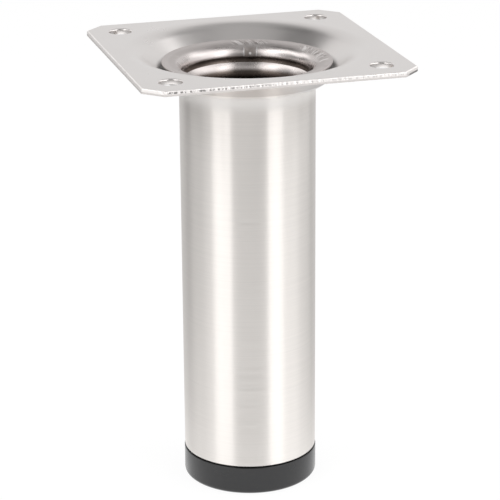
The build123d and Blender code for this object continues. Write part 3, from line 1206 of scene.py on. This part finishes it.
def pale_floor(stage):
    """The floor's finish: white to the camera, with the leg's shadow left in it. Reflections see it
    bright in front of the leg and dimmer further off."""
    material, table, shader, place = new_material("pale_floor")
    nodes = material.node_tree.nodes
    nodes.remove(shader)
    right, near = bearing_frame(stage)
    from_patch = table.vector("DISTANCE", place, near * PATCH_NEAR - right * PATCH_LEFT)["Value"]
    gloss = table.ramp(from_patch, *PATCH_EDGE, stage.floor_close, stage.floor_far)
    ray = table.node("ShaderNodeLightPath").outputs
    camera, glossy = ray["Is Camera Ray"], ray["Is Glossy Ray"]
    strength = table.math("MAXIMUM", table.times(glossy, gloss), table.times(camera, FLOOR_WHITE))
    cover = table.math("ADD", table.times(camera, FLOOR_COVER), glossy)
    matt = table.put(table.node("ShaderNodeBsdfDiffuse"), Color=opaque(stage.floor)).outputs[0]
    white = table.put(table.node("ShaderNodeEmission"), Strength=strength).outputs[0]
    both = table.put(table.node("ShaderNodeMixShader"), _0=cover, _1=matt, _2=white).outputs[0]
    table.put(nodes["Material Output"], Surface=both)
    return material


# Where the room's zones start and end, as heights or as shares along a level direction. The last two
# numbers of the collar and of the zone over the camera are their brightness at the start and at the end.
BACK_EDGE = (-0.45, -0.82)
LEFT_EDGE = (-0.2, -0.7)
RIGHT_EDGE = (0.2, 0.7)
LOW_WALL_EDGE = (0.30, 0.60)
CEILING_EDGE = (0.65, 0.78)
COLLAR = (0.80, 0.95, 0.80, 1.0)
OVER_CAMERA = (0.05, 0.40, 1.0, 0.55)
# Dark flags: their places to the right and towards the camera, where they start and what they leave
FLAGS = ((-0.4755, -0.3455, 0.91, 0.28), (0.53, -0.26, 0.93, 0.58))
FLAG_HEIGHT = 0.809
FLAG_CORE = 0.985
# A little more than 1, so that no ray that looks straight up divides by zero
FULL_LENGTH = 1.0001


def light_room(scene, stage):
    """A soft room: white to the camera, and greys that change with direction to everything else. It is dark
    low down in front and on the left, brighter on the right and higher up, bright at the back and half
    bright overhead, with two dark flags. A ray's share along a direction is their dot product."""
    world = bpy.data.worlds.new("soft_room")
    scene.world = world
    world.use_nodes = True
    table = NodeTable(world.node_tree)
    looking = table.node("ShaderNodeTexCoord").outputs["Generated"]
    right, near = bearing_frame(stage)

    def along(direction):
        """The ray's share along a direction."""
        return table.vector("DOT_PRODUCT", looking, direction)["Value"]

    height, aside, ahead = table.axes(looking)["Z"], along(right), along(near)
    level = table.math("SQRT", table.math("SUBTRACT", FULL_LENGTH, table.times(height, height)))
    behind = table.ramp(table.math("DIVIDE", ahead, level), *BACK_EDGE)
    low_wall = table.times(table.ramp(aside, *LEFT_EDGE, 1.0, stage.left_wall),
                           table.ramp(aside, *RIGHT_EDGE, 1.0, stage.right_wall), stage.front)
    walls = table.blend(table.ramp(height, *LOW_WALL_EDGE), low_wall, stage.sides)
    shade = table.blend(behind, walls, stage.back)
    ceiling = table.times(table.ramp(height, *COLLAR), table.ramp(ahead, *OVER_CAMERA), stage.ceiling)
    shade = table.blend(table.ramp(height, *CEILING_EDGE), shade, ceiling)
    for to_right, to_near, edge, remaining in FLAGS:
        flag = (right * to_right + near * to_near + Vector((0.0, 0.0, FLAG_HEIGHT))).normalized()
        shade = table.times(shade, table.ramp(along(flag), edge, FLAG_CORE, 1.0, remaining))
    seen = table.node("ShaderNodeLightPath").outputs["Is Camera Ray"]
    table.put(world.node_tree.nodes["Background"], Color=(1.0, 1.0, 1.0, 1.0),
              Strength=table.blend(seen, shade, 1.0))


# Distance and height of the panels, and the gaps in them as bearings in degrees from the camera
PANEL_DISTANCE = 0.75
PANEL_HEIGHT = 1.3
FRONT_GAP = (40.5, 41.5)
SIDE_GAP = (61.0, 62.0)


def hang_panels(stage):
    """Tall soft panels that stand on the floor and face the leg: two in front on each side with a thin
    gap between them, and two dimmer ones beside them. A panel's width is twice its distance times the
    tangent of half the angle that it fills."""
    right, near = bearing_frame(stage)
    middle = Vector((0.0, 0.0, PANEL_HEIGHT / 2))
    # Side, name, bearings where the panels start, where the last two meet and where they end, brightness
    sides = ((-1.0, "left", 28.0, 80.0, 112.0, stage.left_panels, stage.left_side, stage.left_rear),
             (1.0, "right", 34.0, 92.0, 124.0, stage.right_panels, stage.right_side, stage.right_rear))
    for side, name, start, meeting, end, front, beside, rear in sides:
        spans = ((start, FRONT_GAP[0], front), (FRONT_GAP[1], SIDE_GAP[0], front),
                 (SIDE_GAP[1], meeting, beside), (meeting, end, rear))
        for number, (inner, outer, brightness) in enumerate(spans):
            turn = radians((inner + outer) / 2)
            width = 2 * PANEL_DISTANCE * tan(radians((outer - inner) / 2))
            level = near * cos(turn) * PANEL_DISTANCE + right * sin(turn) * side * PANEL_DISTANCE
            hang_lamp(f"{name}_panel_{number}", level + middle, middle, width, PANEL_HEIGHT, brightness)


# Distance of the lamps from the plate
LAMP_DISTANCE = 0.7


def hang_lamps(stage):
    """Lamps that hang higher and face the plate: two on the left, one on the right and a small one at
    the back on the right."""
    right, near = bearing_frame(stage)
    plate = Vector((0.0, 0.0, PLATE_HIGH.z))
    # Name, bearing from the camera and rise in degrees, width, height and brightness
    lamps = (("left_high_lamp", -80.0, 46.0, 0.50, 0.24, stage.left_high),
             ("left_low_lamp", -117.0, 30.0, 0.46, 0.24, stage.left_high),
             ("right_high_lamp", 110.0, 33.0, 0.46, 0.22, stage.right_high),
             ("back_lamp", 133.0, 41.7, 0.16, 0.16, stage.back_lamp))
    for name, bearing, rise, width, height, brightness in lamps:
        turn, lift = radians(bearing), radians(rise)
        level = near * cos(turn) + right * sin(turn)
        place = plate + (level * cos(lift) + Vector((0.0, 0.0, sin(lift)))) * LAMP_DISTANCE
        hang_lamp(name, place, plate, width, height, brightness)


def hang_lamp(name, place, aim, width, height, brightness):
    """An oblong lamp at a place, facing an aim point. Its power is its brightness times pi times its
    area."""
    lamp = bpy.data.lights.new(name, "AREA")
    lamp.shape = "RECTANGLE"
    lamp.size, lamp.size_y = width, height
    lamp.energy = brightness * pi * width * height
    holder = bpy.data.objects.new(name, lamp)
    facing = (aim - place).to_track_quat("-Z", "Y").to_matrix().to_4x4()
    holder.matrix_world = Matrix.Translation(place) @ facing
    holder.visible_camera = False
    bpy.context.scene.collection.objects.link(holder)


def set_camera(scene, stage):
    """A long lens at the photograph's angle, aimed at a point near the leg's middle."""
    right, near = bearing_frame(stage)
    ahead = -near * cos(stage.pitch) - Vector((0.0, 0.0, sin(stage.pitch)))
    level_up = right.cross(ahead)
    across = right * cos(stage.roll) + level_up * sin(stage.roll)
    upwards = level_up * cos(stage.roll) - right * sin(stage.roll)
    place = right * stage.aim_aside + Vector((0.0, 0.0, stage.aim_height)) - ahead * stage.distance
    lens = bpy.data.cameras.new("photo_camera")
    lens.lens = stage.lens
    lens.sensor_width = 36.0
    lens.clip_start = 0.01
    camera = bpy.data.objects.new("photo_camera", lens)
    camera.matrix_world = Matrix((
        (across.x, upwards.x, -ahead.x, place.x),
        (across.y, upwards.y, -ahead.y, place.y),
        (across.z, upwards.z, -ahead.z, place.z),
        (0.0, 0.0, 0.0, 1.0),
    ))
    scene.collection.objects.link(camera)
    scene.camera = camera


class LEG_PT_panel(Panel):
    """Lists the leg's pieces and their settings"""
    bl_idname = "LEG_PT_panel"
    bl_label = "Furniture leg"
    bl_space_type = "VIEW_3D"
    bl_region_type = "UI"
    bl_category = "Leg"

    def draw(self, context):
        for operator, group in PIECES:
            box = self.layout.box()
            box.operator(operator.bl_idname)
            settings = getattr(context.scene, group)
            for name in settings.bl_rna.properties.keys():
                if name not in ("rna_type", "name"):
                    box.prop(settings, name)


PIECES = (
    (LEG_OT_plate, "leg_plate"),
    (LEG_OT_tube, "leg_tube"),
    (LEG_OT_foot, "leg_foot"),
    (LEG_OT_stage, "leg_stage"),
)
SETTINGS = {
    "leg_plate": LegPlateSettings,
    "leg_tube": LegTubeSettings,
    "leg_foot": LegFootSettings,
    "leg_stage": LegStageSettings,
}
CLASSES = (*SETTINGS.values(), *(operator for operator, _ in PIECES), LEG_PT_panel)


def register():
    """Make the classes and the settings known to Blender."""
    for made in CLASSES:
        bpy.utils.register_class(made)
    for name, group in SETTINGS.items():
        setattr(bpy.types.Scene, name, PointerProperty(type=group))


def unregister():
    """Take the settings and the classes away again."""
    for name in SETTINGS:
        delattr(bpy.types.Scene, name)
    for made in reversed(CLASSES):
        bpy.utils.unregister_class(made)


def main():
    """Build the leg and its stage."""
    register()
    bpy.ops.leg.plate()
    bpy.ops.leg.tube()
    bpy.ops.leg.foot()
    bpy.ops.leg.stage()


if __name__ == "__main__":
    main()
